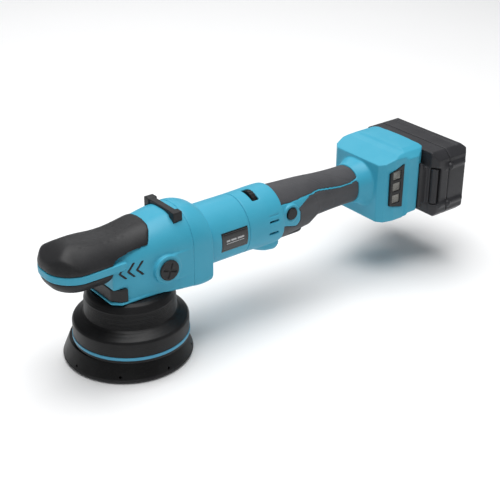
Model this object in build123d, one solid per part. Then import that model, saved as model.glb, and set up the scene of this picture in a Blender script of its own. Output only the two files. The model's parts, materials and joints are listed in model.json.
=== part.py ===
from build123d import *
import math
import os

# A cordless dual action polisher. Millimetres. +X runs from the head to the battery, +Z is up, and the
# origin lies on the drive axis, in the plane of the backing plate's face.

# ---- driving dimensions -------------------------------------------------------------------------
GAP = 0.4                   # air between parts that move past each other
FIT = 0.05                  # radial clearance of a shaft in its bearing
WALL = 2.6                  # moulded casing wall

PAD_R = 62.5                # 125 mm backing plate
HOOK_R = 60.4               # the plate's lower edge draws in to this
PAD_WAIST = 3.0             # height at which the plate is widest
ORBIT = 7.5                 # eccentricity: a 15 mm orbit
ORBIT_ANGLE = 87.0          # where the eccentric stands at rest, degrees from +X
HOOK_T = 1.6                # hook-and-loop face
CUSHION_TOP = 4.4
VENT_Z = 7.0                # height of the air holes in the rim
VENT_TURN = 5.2             # first air hole, degrees from +X
PLATE_TOP = 20.0
PLATE_TOP_R = 55.6
PLATE_HOLE_R = 6.0

SHROUD_LOW = 22.5
SHROUD_R = 55.4
SHROUD_SHOULDER = 46.0
NECK_LOW = 49.0
NECK_R = 43.5
NECK_HIGH = 72.0
RING_LOW = 25.7
RING_HIGH = 28.5
RUBBER = 3.0

MOTOR_Z = 102.0             # height of the motor axis
BARREL_R = 30.5
BARREL_END = 120.0
SEAM_X = 49.0               # head cover meets motor housing
FLANGE_END = 72.0
FOOT_FRONT = 286.0
FOOT_HALF = 41.0            # half width across the window flanks
FOOT_END = 345.5

NOSE_TIP = -87.0
NOSE_HALF = 31.5
NOSE_CORNER = 28.0
BAND_LOW = 110.0
BAND_HIGH = 117.5
NOSE_FLOOR = 99.0
GRIP_BACK = 14.5            # the palm grip ends here on top of the head

SOCKET_X = 20.0             # side handle sockets
SOCKET_Z = 99.5
SOCKET_FACE = 37.5

GEAR_MODULE = 1.4
PINION_TEETH = 11
RING_TEETH = 33
FACE_WIDTH = 7.0

PACK_X = (347.0, 397.5)
PACK_HALF = 56.0
PACK_Z = (59.0, 135.0)
PACK_SPLIT = 368.0
RAIL_FRONT = 336.5          # front of the slot that the pack's tongue slides in
RAIL_LIP = 342.0
RAIL_HALF = 26.0            # half the slot's height
RAIL_NECK = 21.0            # half the height between the lips
RAIL_MID = 97.0
RAIL_STOP = 36.0            # closed end of the slot, +Y

PANEL_TOP = 90.5            # rubber pad on the front of the head
PANEL_BACK = -20.0
SOCKET_BORE = 7.0
CHEVRONS = (-27.2, -18.8, -10.2)
CHEVRON_Z = 106.0
BUMPER_X = 36.3
BUMPER_HALF = 24.5

LOCK_X = 175.2              # lock-on button
LOCK_Z = 106.4
LOCK_R = 6.0
DIAL_X = 137.5              # speed wheel
DIAL_LEAN = 13.0
DIAL_R = 9.6
DIAL_HEIGHT = 23.0

CELL_R = 9.0
CELL_LONG = 65.0
CELL_LOW = 65.6
CELL_ROWS = (363.4, 381.8)

ECC_X = ORBIT * math.cos(math.radians(ORBIT_ANGLE))
ECC_Y = ORBIT * math.sin(math.radians(ORBIT_ANGLE))

os.makedirs("parts", exist_ok=True)
LOW = (Align.CENTER, Align.CENTER, Align.MIN)
CORNER = (Align.MIN, Align.MIN, Align.MIN)


# ---- helpers ------------------------------------------------------------------------------------
def save(name, shape):
    """One STEP file for one node."""
    export_step(Compound(children=[Solid(s.wrapped) for s in shape.solids()]), f"parts/{name}.step")


def post(radius, low, high, x=0.0, y=0.0):
    """Upright cylinder between two heights."""
    return Pos(x, y, low) * Cylinder(radius, high - low, align=LOW)


def bar(radius, low, high, y=0.0, z=MOTOR_Z):
    """Cylinder along the tool between two stations."""
    return Pos(low, y, z) * Rot(0, 90, 0) * Cylinder(radius, high - low, align=LOW)


def peg(radius, low, high, x, z):
    """Cylinder across the tool between two Y values."""
    return Pos(x, low, z) * Rot(-90, 0, 0) * Cylinder(radius, high - low, align=LOW)


def block(xs, ys, zs):
    """Box between two X, two Y and two Z values."""
    size = (xs[1] - xs[0], ys[1] - ys[0], zs[1] - zs[0])
    return Pos(xs[0], ys[0], zs[0]) * Box(*size, align=CORNER)


def turned(points):
    """Solid of revolution about the drive axis from (radius, height) points."""
    return revolve(make_face(Polyline([(r, 0, z) for r, z in points], close=True)), Axis.Z)


def arch(x, half, bottom, top, crown, foot):
    """Section across the tool: flat sides, a rounded crown and smaller bottom corners."""
    plane = Plane(origin=(x, 0, 0), x_dir=(0, 1, 0), z_dir=(1, 0, 0))
    face = plane * Pos(0, (bottom + top) / 2) * Rectangle(2 * half, top - bottom)
    face = fillet(face.vertices().group_by(Axis.Z)[-1], crown)
    return fillet(face.vertices().group_by(Axis.Z)[0], foot)


def hull(sections, inset=0.0):
    """Loft through arch sections, each drawn in by the inset."""
    faces = [
        arch(x, half - inset, low + inset, high - inset, crown - inset, max(foot - inset, 0.6))
        for x, half, low, high, crown, foot in sections
    ]
    return loft(faces)


def side_plate(points, half):
    """Side-view outline of (x, z) points carried across the tool, half to each side."""
    face = make_face(Polyline([(x, 0, z) for x, z in points], close=True))
    return extrude(face, half, both=True)


def plan_plate(points, low, high):
    """Plan outline of (x, y) points between two heights."""
    return Pos(0, 0, low) * extrude(make_face(Polyline(points, close=True)), high - low)


def mirrored(points):
    """The half outline on -Y, closed by its mirror image."""
    return points + [(x, -y) for x, y in reversed(points)]


def both_sides(shape):
    """A piece and its mirror image across the centre plane, as separate solids."""
    return Compound(children=[*shape.solids(), *mirror(shape, about=Plane.XZ).solids()])


def halves(shape, reach=500.0):
    """Left (-Y) and right (+Y) moulding of a split casing."""
    left = shape & block((-reach, reach), (-reach, 0), (-reach, reach))
    right = shape & block((-reach, reach), (0, reach), (-reach, reach))
    return left, right


# ---- backing plate ------------------------------------------------------------------------------
def pad_profile(low, high):
    """Part of the backing plate's cone between two heights, about its own axis."""
    def radius(z):
        if z < PAD_WAIST:
            return HOOK_R + (PAD_R - HOOK_R) * z / PAD_WAIST
        return PAD_R - (PAD_R - PLATE_TOP_R) * (z - PAD_WAIST) / (PLATE_TOP - PAD_WAIST)

    heights = [low] + ([PAD_WAIST] if low < PAD_WAIST < high else []) + [high]
    outline = [(0, low)] + [(radius(z), z) for z in heights] + [(0, high)]
    return Pos(ECC_X, ECC_Y, 0) * (turned(outline) - post(PLATE_HOLE_R, low - 1, high + 1))


def vents_in_rim():
    """Eight air passages: in at the rim, then down through the face."""
    holes = []
    for i in range(8):
        inward = Rot(0, 90, 0) * Cylinder(1.4, 20)
        passage = (Pos(58, 0, VENT_Z) * inward + post(2.0, -1, VENT_Z, 50)).solids()[0]
        holes.append(Pos(ECC_X, ECC_Y, 0) * Rot(0, 0, VENT_TURN + 45 * i) * passage)
    return Compound(children=holes)


def make_pad():
    vents = vents_in_rim()
    save("hook_face", pad_profile(0, HOOK_T) - vents)
    save("pad_cushion", pad_profile(HOOK_T, CUSHION_TOP) - vents)
    seat = post(11, CUSHION_TOP - 1, 12.0, ECC_X, ECC_Y)
    hub = post(17, PLATE_TOP, 24.0, ECC_X, ECC_Y) - post(PLATE_HOLE_R, 19, 25, ECC_X, ECC_Y)
    save("backing_plate", pad_profile(CUSHION_TOP, PLATE_TOP) - vents + hub - seat)
    shaft = post(8.5, 24.0, 27.0, ECC_X, ECC_Y) + post(6.0 - FIT, 27.0, 45.6, ECC_X, ECC_Y)
    thread = post(4.0, 23.0, 40.0, ECC_X, ECC_Y)
    save("pad_spindle", shaft - thread)
    save("pad_washer", post(10.5, 10.6, 12.0, ECC_X, ECC_Y) - post(4.2, 10, 13, ECC_X, ECC_Y))
    head = post(5.6, 4.6, 10.6, ECC_X, ECC_Y) + post(4.0, 10.6, 39.0, ECC_X, ECC_Y)
    drive = Pos(ECC_X, ECC_Y, 4.0) * extrude(RegularPolygon(3.0, 6), 4.2)
    save("pad_bolt", head - drive)


# ---- eccentric drive ----------------------------------------------------------------------------
def make_counterweight():
    hub = post(19, 28.0, 50.0, ECC_X, ECC_Y) & post(26, 28.0, 50.0)
    core = post(20, 44.0, 50.0) + hub
    opposite = Rot(0, 0, ORBIT_ANGLE + 180)
    ring = post(38, 28.0, 42.0) - post(14, 27, 43)
    lump = opposite * ring & opposite * block((2, 40), (-30, 30), (27, 43))
    web = opposite * block((0, 30), (-12, 12), (36, 50)) & post(34, 36, 50)
    fins = [Rot(0, 0, ORBIT_ANGLE + a) * block((14, 36), (-1.2, 1.2), (44, 50)) for a in range(-75, 90, 30)]
    body = core + lump + web + fins
    bearing_bore = post(14, 27, 46.0, ECC_X, ECC_Y)
    save("counterweight", body - bearing_bore - post(8, 45, 51))
    bearings = []
    for low in (28.4, 37.0):
        bearings.append(post(14, low, low + 8, ECC_X, ECC_Y) - post(6, low - 1, low + 9, ECC_X, ECC_Y))
    save("eccentric_bearings", Compound(children=bearings))


def make_spindle():
    shaft = post(8, 46.5, 60, 0, 0) + post(7.5 - FIT, 60, 80) + post(7, 80, 96) + post(4 - FIT, 96, 117)
    save("spindle", shaft)


def tooth(pitch_r, cone_deg, teeth, inner, outer, thick=0.40):
    """One straight bevel tooth, on +X, on a pitch cone whose apex is the origin and axis is Z."""
    cone = math.radians(cone_deg)
    faces = []
    for distance in (inner, outer):
        scale = distance / outer
        module = 2 * pitch_r / teeth * scale
        pitch = math.pi * module
        width, taper = thick * pitch, math.tan(math.radians(20))
        up, down = 0.80 * module, 1.05 * module
        radial = Vector(math.sin(cone), 0, math.cos(cone))
        normal = Vector(math.cos(cone), 0, -math.sin(cone))
        plane = Plane(origin=radial * distance, x_dir=(0, 1, 0), z_dir=radial)
        rise = 1.0 if plane.y_dir.dot(normal) > 0 else -1.0
        top, base = width / 2 - up * taper, width / 2 + down * taper
        corners = [(-base, -down * rise), (base, -down * rise), (top, up * rise), (-top, up * rise)]
        faces.append(plane * make_face(Polyline(corners, close=True)))
    return loft(faces, ruled=True)


def bevel_gear(pitch_r, cone_deg, teeth, phase, backing):
    """Bevel gear about Z with its apex at the origin and its teeth facing away from the axis."""
    cone = math.radians(cone_deg)
    outer = pitch_r / math.sin(cone)
    inner = outer - FACE_WIDTH
    module = 2 * pitch_r / teeth

    def rim(distance):
        dedendum = 1.0 * module * distance / outer
        return (
            distance * math.sin(cone) - dedendum * math.cos(cone),
            distance * math.cos(cone) + dedendum * math.sin(cone),
        )

    (r0, z0), (r1, z1) = rim(inner), rim(outer)
    blank = turned([(0, z0), (r0, z0), (r1, z1), (r1, z1 + backing), (0, z1 + backing)])
    single = tooth(pitch_r, cone_deg, teeth, inner, outer)
    ring = [Rot(0, 0, phase + 360 / teeth * i) * single for i in range(teeth)]
    return blank + ring


def make_gears():
    pinion_r = GEAR_MODULE * PINION_TEETH / 2
    ring_r = GEAR_MODULE * RING_TEETH / 2
    pinion_cone = math.degrees(math.atan(PINION_TEETH / RING_TEETH))
    apex = Pos(0, 0, MOTOR_Z)
    wheel = apex * Rot(180, 0, 0) * bevel_gear(ring_r, 90 - pinion_cone, RING_TEETH, 0.0, 3.5)
    hub = post(12, 82, 92)
    save("ring_gear", (wheel + hub) - post(7, 80, 97) - post(8.4, 92.2, 110))
    turn = 180 / PINION_TEETH
    pinion = apex * Rot(0, 90, 0) * bevel_gear(pinion_r, pinion_cone, PINION_TEETH, turn, 3.0)
    save("pinion", pinion - bar(4, 0, 40))


# ---- gear case ----------------------------------------------------------------------------------
def make_gear_case():
    case = post(26.4, 78, 115) + post(14, 115, 120) + bar(17, 10, SEAM_X) + bar(27, SEAM_X - 4, SEAM_X)
    cavity = post(24.3, 77, 112) + bar(11.5, 5, 33) + bar(11, 33, 41) + bar(7, 40, 51)
    top_seat = post(6, 111, 118)
    case = case - cavity - top_seat
    ears = [bar(2.2, 45, 51, 21.5 * math.cos(a), MOTOR_Z + 21.5 * math.sin(a)) for a in
            [math.radians(45 + 90 * i) for i in range(4)]]
    save("gear_case", case - ears)
    save("spindle_top_bearing", post(6, 112, 118) - post(4, 111, 119))
    plate = post(36, 70, 74.5) + post(27, 74.5, 78) + post(21, 62, 74.5)
    save("bearing_plate", plate - post(17.5, 64, 75.1) - post(12, 60, 79))
    save("spindle_bearing", post(17.5, 64, 75) - post(7.5, 63, 76))
    screws = []
    for i in range(4):
        a = math.radians(45 + 90 * i)
        screws.append(bar(2.1, 46.2, 58, 21.5 * math.cos(a), MOTOR_Z + 21.5 * math.sin(a)))
    save("gear_case_screws", Compound(children=[s for s in screws]))


# ---- motor --------------------------------------------------------------------------------------
def about_motor(degrees):
    """Turn about the motor's axis."""
    return Pos(0, 0, MOTOR_Z) * Rot(degrees, 0, 0) * Pos(0, 0, -MOTOR_Z)


def make_motor():
    shaft = bar(4 - FIT, 15.5, 41) + bar(5, 41, 118) + bar(4 - FIT, 118, 127)
    save("rotor_shaft", shaft)
    save("rotor_core", bar(14.5, 66, 106) - bar(5, 60, 110))
    blades = [
        about_motor(30 * i) * block((54, 60), (-0.9, 0.9), (MOTOR_Z + 9, MOTOR_Z + 24))
        for i in range(12)
    ]
    hub = bar(10, 52, 61) + (bar(24, 60, 61.5))
    save("cooling_fan", (hub + blades) - bar(5, 50, 63))
    stator = bar(27.2, 68, 104) - bar(15.2, 60, 110)
    slots = [
        about_motor(60 * i) * block((60, 112), (-5.4, 5.4), (MOTOR_Z + 16.8, MOTOR_Z + 24))
        for i in range(6)
    ]
    save("stator", stator - slots)
    coils = [
        about_motor(60 * i) * block((65, 107), (-5.2, 5.2), (MOTOR_Z + 17, MOTOR_Z + 23.8))
        for i in range(6)
    ]
    save("stator_coils", Compound(children=[c.solid() for c in coils]))
    save("motor_front_bearing", bar(11, 33, 40) - bar(4, 32, 41))
    save("motor_rear_bearing", bar(11, 119, 126) - bar(4, 118, 127))
    bracket = bar(27.2, 119, 123) + bar(13.5, 119, 128)
    save("motor_end_bracket", bracket - bar(11, 118, 126) - bar(7, 118, 129))


# ---- head ---------------------------------------------------------------------------------------
HEAD = [
    (-33.0, 27.0, 76.5, 128.0, 20.0, 5.0),
    (-9.0, 30.0, 75.2, 133.5, 24.0, 4.0),
    (18.0, 33.5, 73.2, 140.0, 28.0, 4.0),
    (SEAM_X, 36.0, 70.2, 144.5, 33.0, 6.0),
]
COLLAR = [
    (33.0, 35.4, 71.75, 142.9, 31.0, 5.0),
    (SEAM_X, 36.5, 70.2, 145.0, 33.4, 6.0),
]
FLANGE = [
    (SEAM_X, 36.5, 70.2, 145.0, 33.4, 6.0),
    (60.0, 36.5, 68.2, 143.8, 33.4, 8.0),
    (FLANGE_END, 35.6, 67.5, 138.0, 32.0, 11.0),
]
PALM = [
    (NOSE_TIP - 2, 31.5, 100.0, 124.0, 10.0, 3.0),
    (-77.0, 31.5, 100.0, 136.0, 20.0, 3.0),
    (-60.0, 31.8, 100.0, 139.2, 25.0, 3.0),
    (-28.0, 31.8, 100.0, 136.0, 26.0, 3.0),
    (16.0, 33.6, 100.0, 141.0, 28.5, 3.0),
]
SHROUD_PROFILE = [
    (SHROUD_R, SHROUD_LOW),
    (SHROUD_R, SHROUD_SHOULDER - 3),
    (SHROUD_R - 2, SHROUD_SHOULDER),
    (NECK_R + 1, NECK_LOW),
    (NECK_R, NECK_LOW + 1),
    (NECK_R - 0.6, 66.0),
    (40.0, NECK_HIGH - 1),
    (36.2, NECK_HIGH + 2),
    (36.2, 70.2),
    (NECK_R - 0.6 - RUBBER, 64.0),
    (NECK_R - RUBBER, 51.0),
    (SHROUD_R - 5, 44.5),
    (SHROUD_R - RUBBER, 42.0),
    (SHROUD_R - RUBBER, SHROUD_LOW),
]
RING_SEAT = [
    (SHROUD_R - 0.8, RING_LOW),
    (SHROUD_R + 0.5, RING_LOW),
    (SHROUD_R + 0.5, RING_HIGH),
    (SHROUD_R - 0.8, RING_HIGH),
]


def nose_plan(inset, low, high, back=-20.0):
    """Rounded plan of the palm rest between two heights."""
    outline = RectangleRounded(
        2 * (back - NOSE_TIP) - 2 * inset, 2 * (NOSE_HALF - inset), NOSE_CORNER - inset
    )
    front = Pos(back, 0, low) * extrude(outline, high - low)
    return front & block((NOSE_TIP - 5, back), (-50, 50), (low - 1, high + 1))


def palm_zone():
    """Zone that the palm grip covers: a side view with a rounded rear edge in plan."""
    flank = [(GRIP_BACK, 150), (GRIP_BACK, 140), (7, 129), (5, 126), (-15, 123.8), (-30, 121)]
    flank = flank + [(-33, BAND_HIGH)]
    side = side_plate([(NOSE_TIP - 6, BAND_HIGH), (NOSE_TIP - 6, 150)] + flank, 40)
    return side & post(170, 90, 160, GRIP_BACK - 170)


def make_head_cover():
    outer, zone = hull(HEAD), palm_zone()
    under_grip = hull(PALM, RUBBER) & nose_plan(RUBBER, 99, 146, back=15.9)
    band = nose_plan(0.0, BAND_LOW, BAND_HIGH)
    boss = peg(14, -SOCKET_FACE, SOCKET_FACE, SOCKET_X, SOCKET_Z)
    boss_ys, boss_zs = (1 - SOCKET_FACE, SOCKET_FACE - 1), (SOCKET_Z - 13, SOCKET_Z + 13)
    boss_web = block((SOCKET_X, SEAM_X), boss_ys, boss_zs)
    lip = plan_plate(mirrored([(-34.5, -24), (-27, -31.0), (0, -32.2), (SEAM_X - 2, -35)]), 75.2, 77.5)
    shell = (outer - zone) + hull(COLLAR) + band + (under_grip & zone) + boss + boss_web + lip

    inside = [
        (x, half - WALL, low - 6, high - WALL, crown - WALL, 1.5)
        for x, half, low, high, crown, _ in HEAD
    ]
    inside[0] = (HEAD[0][0] + 3.0, 24.5, 74.0, 124.0, 17.0, 1.5)
    nose_hollow = hull(PALM, RUBBER + 3) & nose_plan(RUBBER + 3, BAND_LOW + 2.5, 140, back=-22.0)
    sockets = peg(SOCKET_BORE, -60, 60, SOCKET_X, SOCKET_Z)
    neck = turned([(0, 60), (41.5, 60), (41.5, 71.4), (36.7, 75), (0, 75)])
    hollow = hull(inside) + nose_hollow + bar(31.4, 30, SEAM_X + 1) + sockets + neck
    recess = [(-60, -60), (PANEL_BACK, -60), (PANEL_BACK, -28), (-24, -25.2), (-29.8, -19)]
    rebate = plan_plate(mirrored(recess), 77.5, PANEL_TOP)
    cover = shell - hollow - rebate
    for x in CHEVRONS:
        cover = cover - both_sides(chevron(x))
    grip = (hull(PALM) & nose_plan(0.0, 99, 160, back=15.9)) & zone
    grip = grip - under_grip - (outer & under_grip & zone)
    return cover.solids().sort_by(SortBy.VOLUME)[-1], grip


def chevron(x):
    """Arrow-shaped groove a millimetre deep in the head's left flank, pointing forward."""
    z, rise, drop, run, wide = CHEVRON_Z, 7.4, 6.2, 6.0, 1.9
    points = [(x, z), (x + run, z + rise), (x + run + wide, z + rise), (x + wide, z),
              (x + run + wide, z - drop), (x + run, z - drop)]
    face = make_face(Polyline([(px, -40, pz) for px, pz in points], close=True))
    return extrude(face, 15.0, dir=(0, 1, 0)) - hull([(s[0], s[1] - 1.0, *s[2:]) for s in HEAD])


def make_head():
    cover, grip = make_head_cover()
    save("head_cover", cover)
    save("palm_grip", grip)
    flush = hull([(s[0], s[1] - 0.25, *s[2:]) for s in HEAD])
    arrows = [solid for x in CHEVRONS for solid in (chevron(x) & flush).solids()]
    save("chevron_inlays", both_sides(Compound(children=arrows)))
    floor = nose_plan(1.2, NOSE_FLOOR, BAND_LOW) - nose_plan(4.0, NOSE_FLOOR + 3, BAND_LOW + 1)
    floor = floor - block((HEAD[0][0] - 0.6, 60), (-50, 50), (60, 120))
    save("nose_lower_grip", floor)
    outline = [(-33.5, -22), (-27, -29.6), (PANEL_BACK - 0.2, -31.2), (PANEL_BACK - 0.2, -28.2),
               (-24.2, -25.4), (-30, -19)]
    save("front_pad", plan_plate(mirrored(outline), 77.6, PANEL_TOP - 0.1))
    plug = peg(10.0, -SOCKET_FACE - 2.2, -SOCKET_FACE, SOCKET_X, SOCKET_Z)
    plug = plug + peg(SOCKET_BORE - 0.1, -SOCKET_FACE, -SOCKET_FACE + 8, SOCKET_X, SOCKET_Z)
    low, high = -SOCKET_FACE - 3, -SOCKET_FACE - 1.2
    slot = block((-7.5, 7.5), (low, high), (-1.1, 1.1)) + block((-1.1, 1.1), (low, high), (-7.5, 7.5))
    plug = plug - Pos(SOCKET_X, 0, SOCKET_Z) * Rot(0, 20, 0) * slot
    save("socket_plugs", both_sides(plug))
    strap = block((BUMPER_X, BUMPER_X + 7), (1 - BUMPER_HALF, BUMPER_HALF - 1), (120, 146.0))
    ends = both_sides(block((BUMPER_X - 1, BUMPER_X + 9), (-BUMPER_HALF, 8 - BUMPER_HALF), (134, 146.5)))
    save("bumper", (strap + ends) - hull(HEAD) - hull(COLLAR))
    save("shroud", turned(SHROUD_PROFILE) - turned(RING_SEAT))
    save("shroud_ring", turned(RING_SEAT))


# ---- motor housing ------------------------------------------------------------------------------
def label(outer_r, inner_r, grow):
    """Curved plate let into the barrel's left side."""
    patch = block((86 - grow, 117 + grow), (-40, -20), (92.5 - grow, 112 + grow))
    return (bar(outer_r, 80, 119) - bar(inner_r, 80, 119)) & patch


def make_motor_housing():
    barrel = bar(BARREL_R, FLANGE_END - 4, BARREL_END)
    lip = bar(BARREL_R - 3.0, BARREL_END, BARREL_END + 5)
    inside = hull([
        (SEAM_X - 1, 32.5, 73.0, 140.0, 30.0, 3.0),
        (FLANGE_END - WALL, 32.5, 70.0, 136.0, 30.0, 4.0),
    ])
    shell = (hull(FLANGE) + barrel + lip) - (inside & block((0, FLANGE_END - WALL), (-60, 60), (0, 200)))
    shell = shell - bar(27.4, 60, 130)
    nubs = both_sides(block((SEAM_X + 1, SEAM_X + 9), (-18, -10), (64.5, 72)))
    housing = shell - label(BARREL_R + 1, BARREL_R - 0.8, 0.05) - nubs
    save("motor_housing", housing.solids().sort_by(SortBy.VOLUME)[-1])
    save("label_plate", label(BARREL_R + 0.15, BARREL_R - 0.8, 0.0))
    feet = both_sides(block((SEAM_X - 3, SEAM_X + 8.9), (-17.9, -10.1), (66.5, 69.2)))
    save("underside_feet", feet - hull(HEAD) - hull(FLANGE))


# ---- rear handle --------------------------------------------------------------------------------
GRIP = [
    (149.0, 28.0, 72.0, 130.5, 27.5, 26.0),
    (187.0, 24.5, 75.0, 128.5, 24.0, 22.0),
    (207.0, 22.6, 77.0, 127.6, 22.0, 20.0),
    (219.0, 21.2, 83.8, 126.6, 20.5, 19.0),
    (262.0, 20.0, 84.6, 123.8, 19.0, 18.0),
    (293.0, 20.5, 84.0, 124.5, 19.5, 18.0),
]


GRIP_SCREWS = ((240, 106),)
FOOT_SCREWS = ((300, 71), (329, 75), (329, 132), (300, 126))


def grip_body(inset):
    """Handle from the switch housing to the foot: a full front, a step behind the trigger, a slim rear."""
    front, step, rear = (hull(GRIP[a:b], inset) for a, b in ((0, 3), (2, 4), (3, 6)))
    return front + step + rear


def foot_block(inset):
    """Angular battery foot: side outline, plan outline and cross section taken together."""
    i = inset
    front = FOOT_FRONT + i
    top = [(front, 131 - i), (300, 135.6 - i), (308, 138.4 - i), (317, 139.2 - i), (320, 141.2 - i)]
    top = top + [(FOOT_END, 142 - i)]
    under = [(FOOT_END, 71 + i), (322, 71 + i), (317, 66.5 + i), (front, 66.5 + i)]
    side = side_plate(top + under, 60)
    flank = [(front, i - 31.5), (291, i - 38), (303, i - FOOT_HALF), (317, i - FOOT_HALF)]
    flank = flank + [(320, i - 43.5), (333, i - 43.5), (341, i - 39), (FOOT_END, i - 35)]
    plan = plan_plate(mirrored(flank), 50, 160)
    outline = [(-46, 71), (-46, 131 - i), (i - 37.5, 139.3 - i), (i - 30, 141 - i), (0, 142 - i)]
    outline = outline + [(-y, z) for y, z in reversed(outline[:-1])] + [(42, 60), (-42, 60)]
    face = make_face(Polyline([(FOOT_FRONT - 5, y, z) for y, z in outline], close=True))
    return side & plan & extrude(face, 80, dir=(1, 0, 0))


def rail_slot(slack):
    """T-shaped slot across the back of the foot, open towards -Y; negative slack gives the tongue."""
    wide, neck = RAIL_HALF + slack, RAIL_NECK + slack
    ys = (-50, RAIL_STOP + slack)
    deep = block((RAIL_FRONT - slack, RAIL_LIP + slack), ys, (RAIL_MID - wide, RAIL_MID + wide))
    return deep + block((RAIL_FRONT, FOOT_END + 5), ys, (RAIL_MID - neck, RAIL_MID + neck))


def bell():
    """Round switch housing behind the motor, with its swollen underside and slanting rear rim."""
    z, r = MOTOR_Z, BARREL_R
    profile = [(BARREL_END + 0.2, 0), (BARREL_END + 0.2, r), (128, r + 0.1), (138, r + 0.4), (148, r + 0.7),
               (158, r + 0.7), (164, r + 0.2), (168, r - 0.8), (168, 0)]
    outline = make_face(Polyline([(x, 0, h) for x, h in profile], close=True))
    round_part = Pos(0, 0, z) * revolve(outline, Axis.X)
    belly = hull([(129, 10, 75, 100, 6, 6), (141, 16, 69.5, 100, 8, 12), (154, 18.5, 64.5, 100, 8, 14),
                  (168, 18, 63.5, 100, 8, 14)])
    rear = side_plate([(100, 160), (164, 160), (162.5, 125), (162, 105), (163.5, 89), (165.5, 74), (163, 62),
                       (100, 55)], 60)
    return (round_part + belly) & rear


def grip_zones():
    """Side-view zones of the upper and the lower rubber, and the island round the lock button."""
    line = [(156, 118.0), (176, 116.6), (203, 117.2), (216, 118.2), (232, 115.8), (246, 114.0), (260, 113.8),
            (269, 115.2)]
    upper = side_plate(line + [(272.5, 117.5), (273.5, 122), (271, 140), (156, 140)], 60)
    below = [(x, z - 1.6) for x, z in line[2:]]
    rear = [(272.5, 111), (273.5, 106), (273, 82), (262, 70), (153, 60), (153, 94), (186, 108)]
    lower = side_plate(below + rear, 60)
    island = side_plate([(150, 96), (168, 94.5), (180, 90.5), (185, 90), (188.5, 95), (188.5, 104),
                         (186, 108), (170, 118), (150, 118)], 20)
    island = Pos(0, -20, 0) * island
    rest = block((150, 400), (-60, 60), (50, 140)) - bell()
    return upper & rest, (lower - island - mirror(island, about=Plane.XZ)) & rest


def make_handle():
    whole_grip, core = grip_body(0), grip_body(RUBBER)
    collar = hull([(271.5, 20.8, 83.6, 124.4, 20.0, 18.5), (279, 22.6, 81.8, 126.0, 20.5, 18.5),
                   (291, 31.0, 74.0, 129.5, 22.0, 20.0)]) & block((200, 289.5), (-60, 60), (0, 200))
    upper, lower = grip_zones()
    skin = whole_grip - core
    trigger_well = block((156, 205.0), (-13.2, 13.2), (50, 95))
    upper_rubber = (skin & upper) - collar
    lower_rubber = (skin & lower) - collar - trigger_well
    boss = peg(9.5, -26.2, -12, LOCK_X, LOCK_Z) - whole_grip
    outside = bell() + (whole_grip & block((140, 290), (-60, 60), (0, 200))) + collar + foot_block(0) + boss
    outside = outside - upper_rubber - lower_rubber

    bell_hollow = bar(BARREL_R - 2.2, BARREL_END + 5.1, 152) + bar(BARREL_R - 2.9, BARREL_END - 1, 126)
    grip_hollow = grip_body(RUBBER + WALL)
    foot_hollow = foot_block(WALL) & block((FOOT_FRONT, RAIL_FRONT - 3), (-60, 60), (0, 200))
    lock_hole = peg(LOCK_R + GAP, -40, -8, LOCK_X, LOCK_Z)
    hollow = bell_hollow + (grip_hollow & block((150, 292), (-60, 60), (0, 200))) + foot_hollow
    hollow = hollow + trigger_well + lock_hole + rail_slot(0) + dial_window() + bell_vents()
    windows = both_sides(window_frame(0.1))
    shell = outside - hollow - windows
    for x, z in GRIP_SCREWS:
        shell = shell + (peg(4.4, -18, 18, x, z) & grip_body(RUBBER)).solids()[0]
    for x, z in FOOT_SCREWS:
        shell = shell + (peg(4.4, -18, 14, x, z) & foot_block(1)).solids()[0]
    shell = shell - rail_slot(0)
    for screw in casing_screws().solids():
        shell = shell - screw
    terminal_slot = block((RAIL_FRONT - 4, RAIL_FRONT + 1), (-20, 20), (RAIL_MID - 14, RAIL_MID + 14))
    left, right = halves(shell - terminal_slot)
    save("handle_shell_left", left.solids().sort_by(SortBy.VOLUME)[-1])
    save("handle_shell_right", right.solids().sort_by(SortBy.VOLUME)[-1])
    save("upper_grip_rubber", upper_rubber.solids().sort_by(SortBy.VOLUME)[-1])
    save("lower_grip_rubber", lower_rubber.solids().sort_by(SortBy.VOLUME)[-1])


def casing_screws():
    """Screws that hold the two handle mouldings together."""
    shafts = [peg(1.5, -12, 10, x, z) + peg(2.8, -16, -12, x, z) for x, z in GRIP_SCREWS + FOOT_SCREWS]
    return Compound(children=[shaft.solid() for shaft in shafts])


def dial_window():
    """Slot on top of the switch housing where the speed wheel's rim shows."""
    return Pos(0, 0, MOTOR_Z) * Rot(DIAL_LEAN, 0, 0) * block((DIAL_X - 4, DIAL_X + 4), (-9.7, 9.7), (22, 40))


def bell_vents():
    """Three cooling slots along each side of the switch housing."""
    slots = []
    for z in (113, 107, 94.5):
        slots.append(block((144, 156), (-45, -24), (z - 0.9, z + 0.9)))
    return both_sides(Compound(children=slots))


def window_frame(grow):
    """Outline of the side window's frame as a plate let into the foot's left flank."""
    g = grow
    points = [(296.2 - g, 85.2 - g), (314.4 + g, 80.4 - g), (314.6 + g, 128.6 + g), (295.8 - g, 121.6 + g)]
    face = make_face(Polyline([(x, -FOOT_HALF - 0.6, z) for x, z in points], close=True))
    return extrude(face, 3.0 + g, dir=(0, 1, 0))


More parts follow.
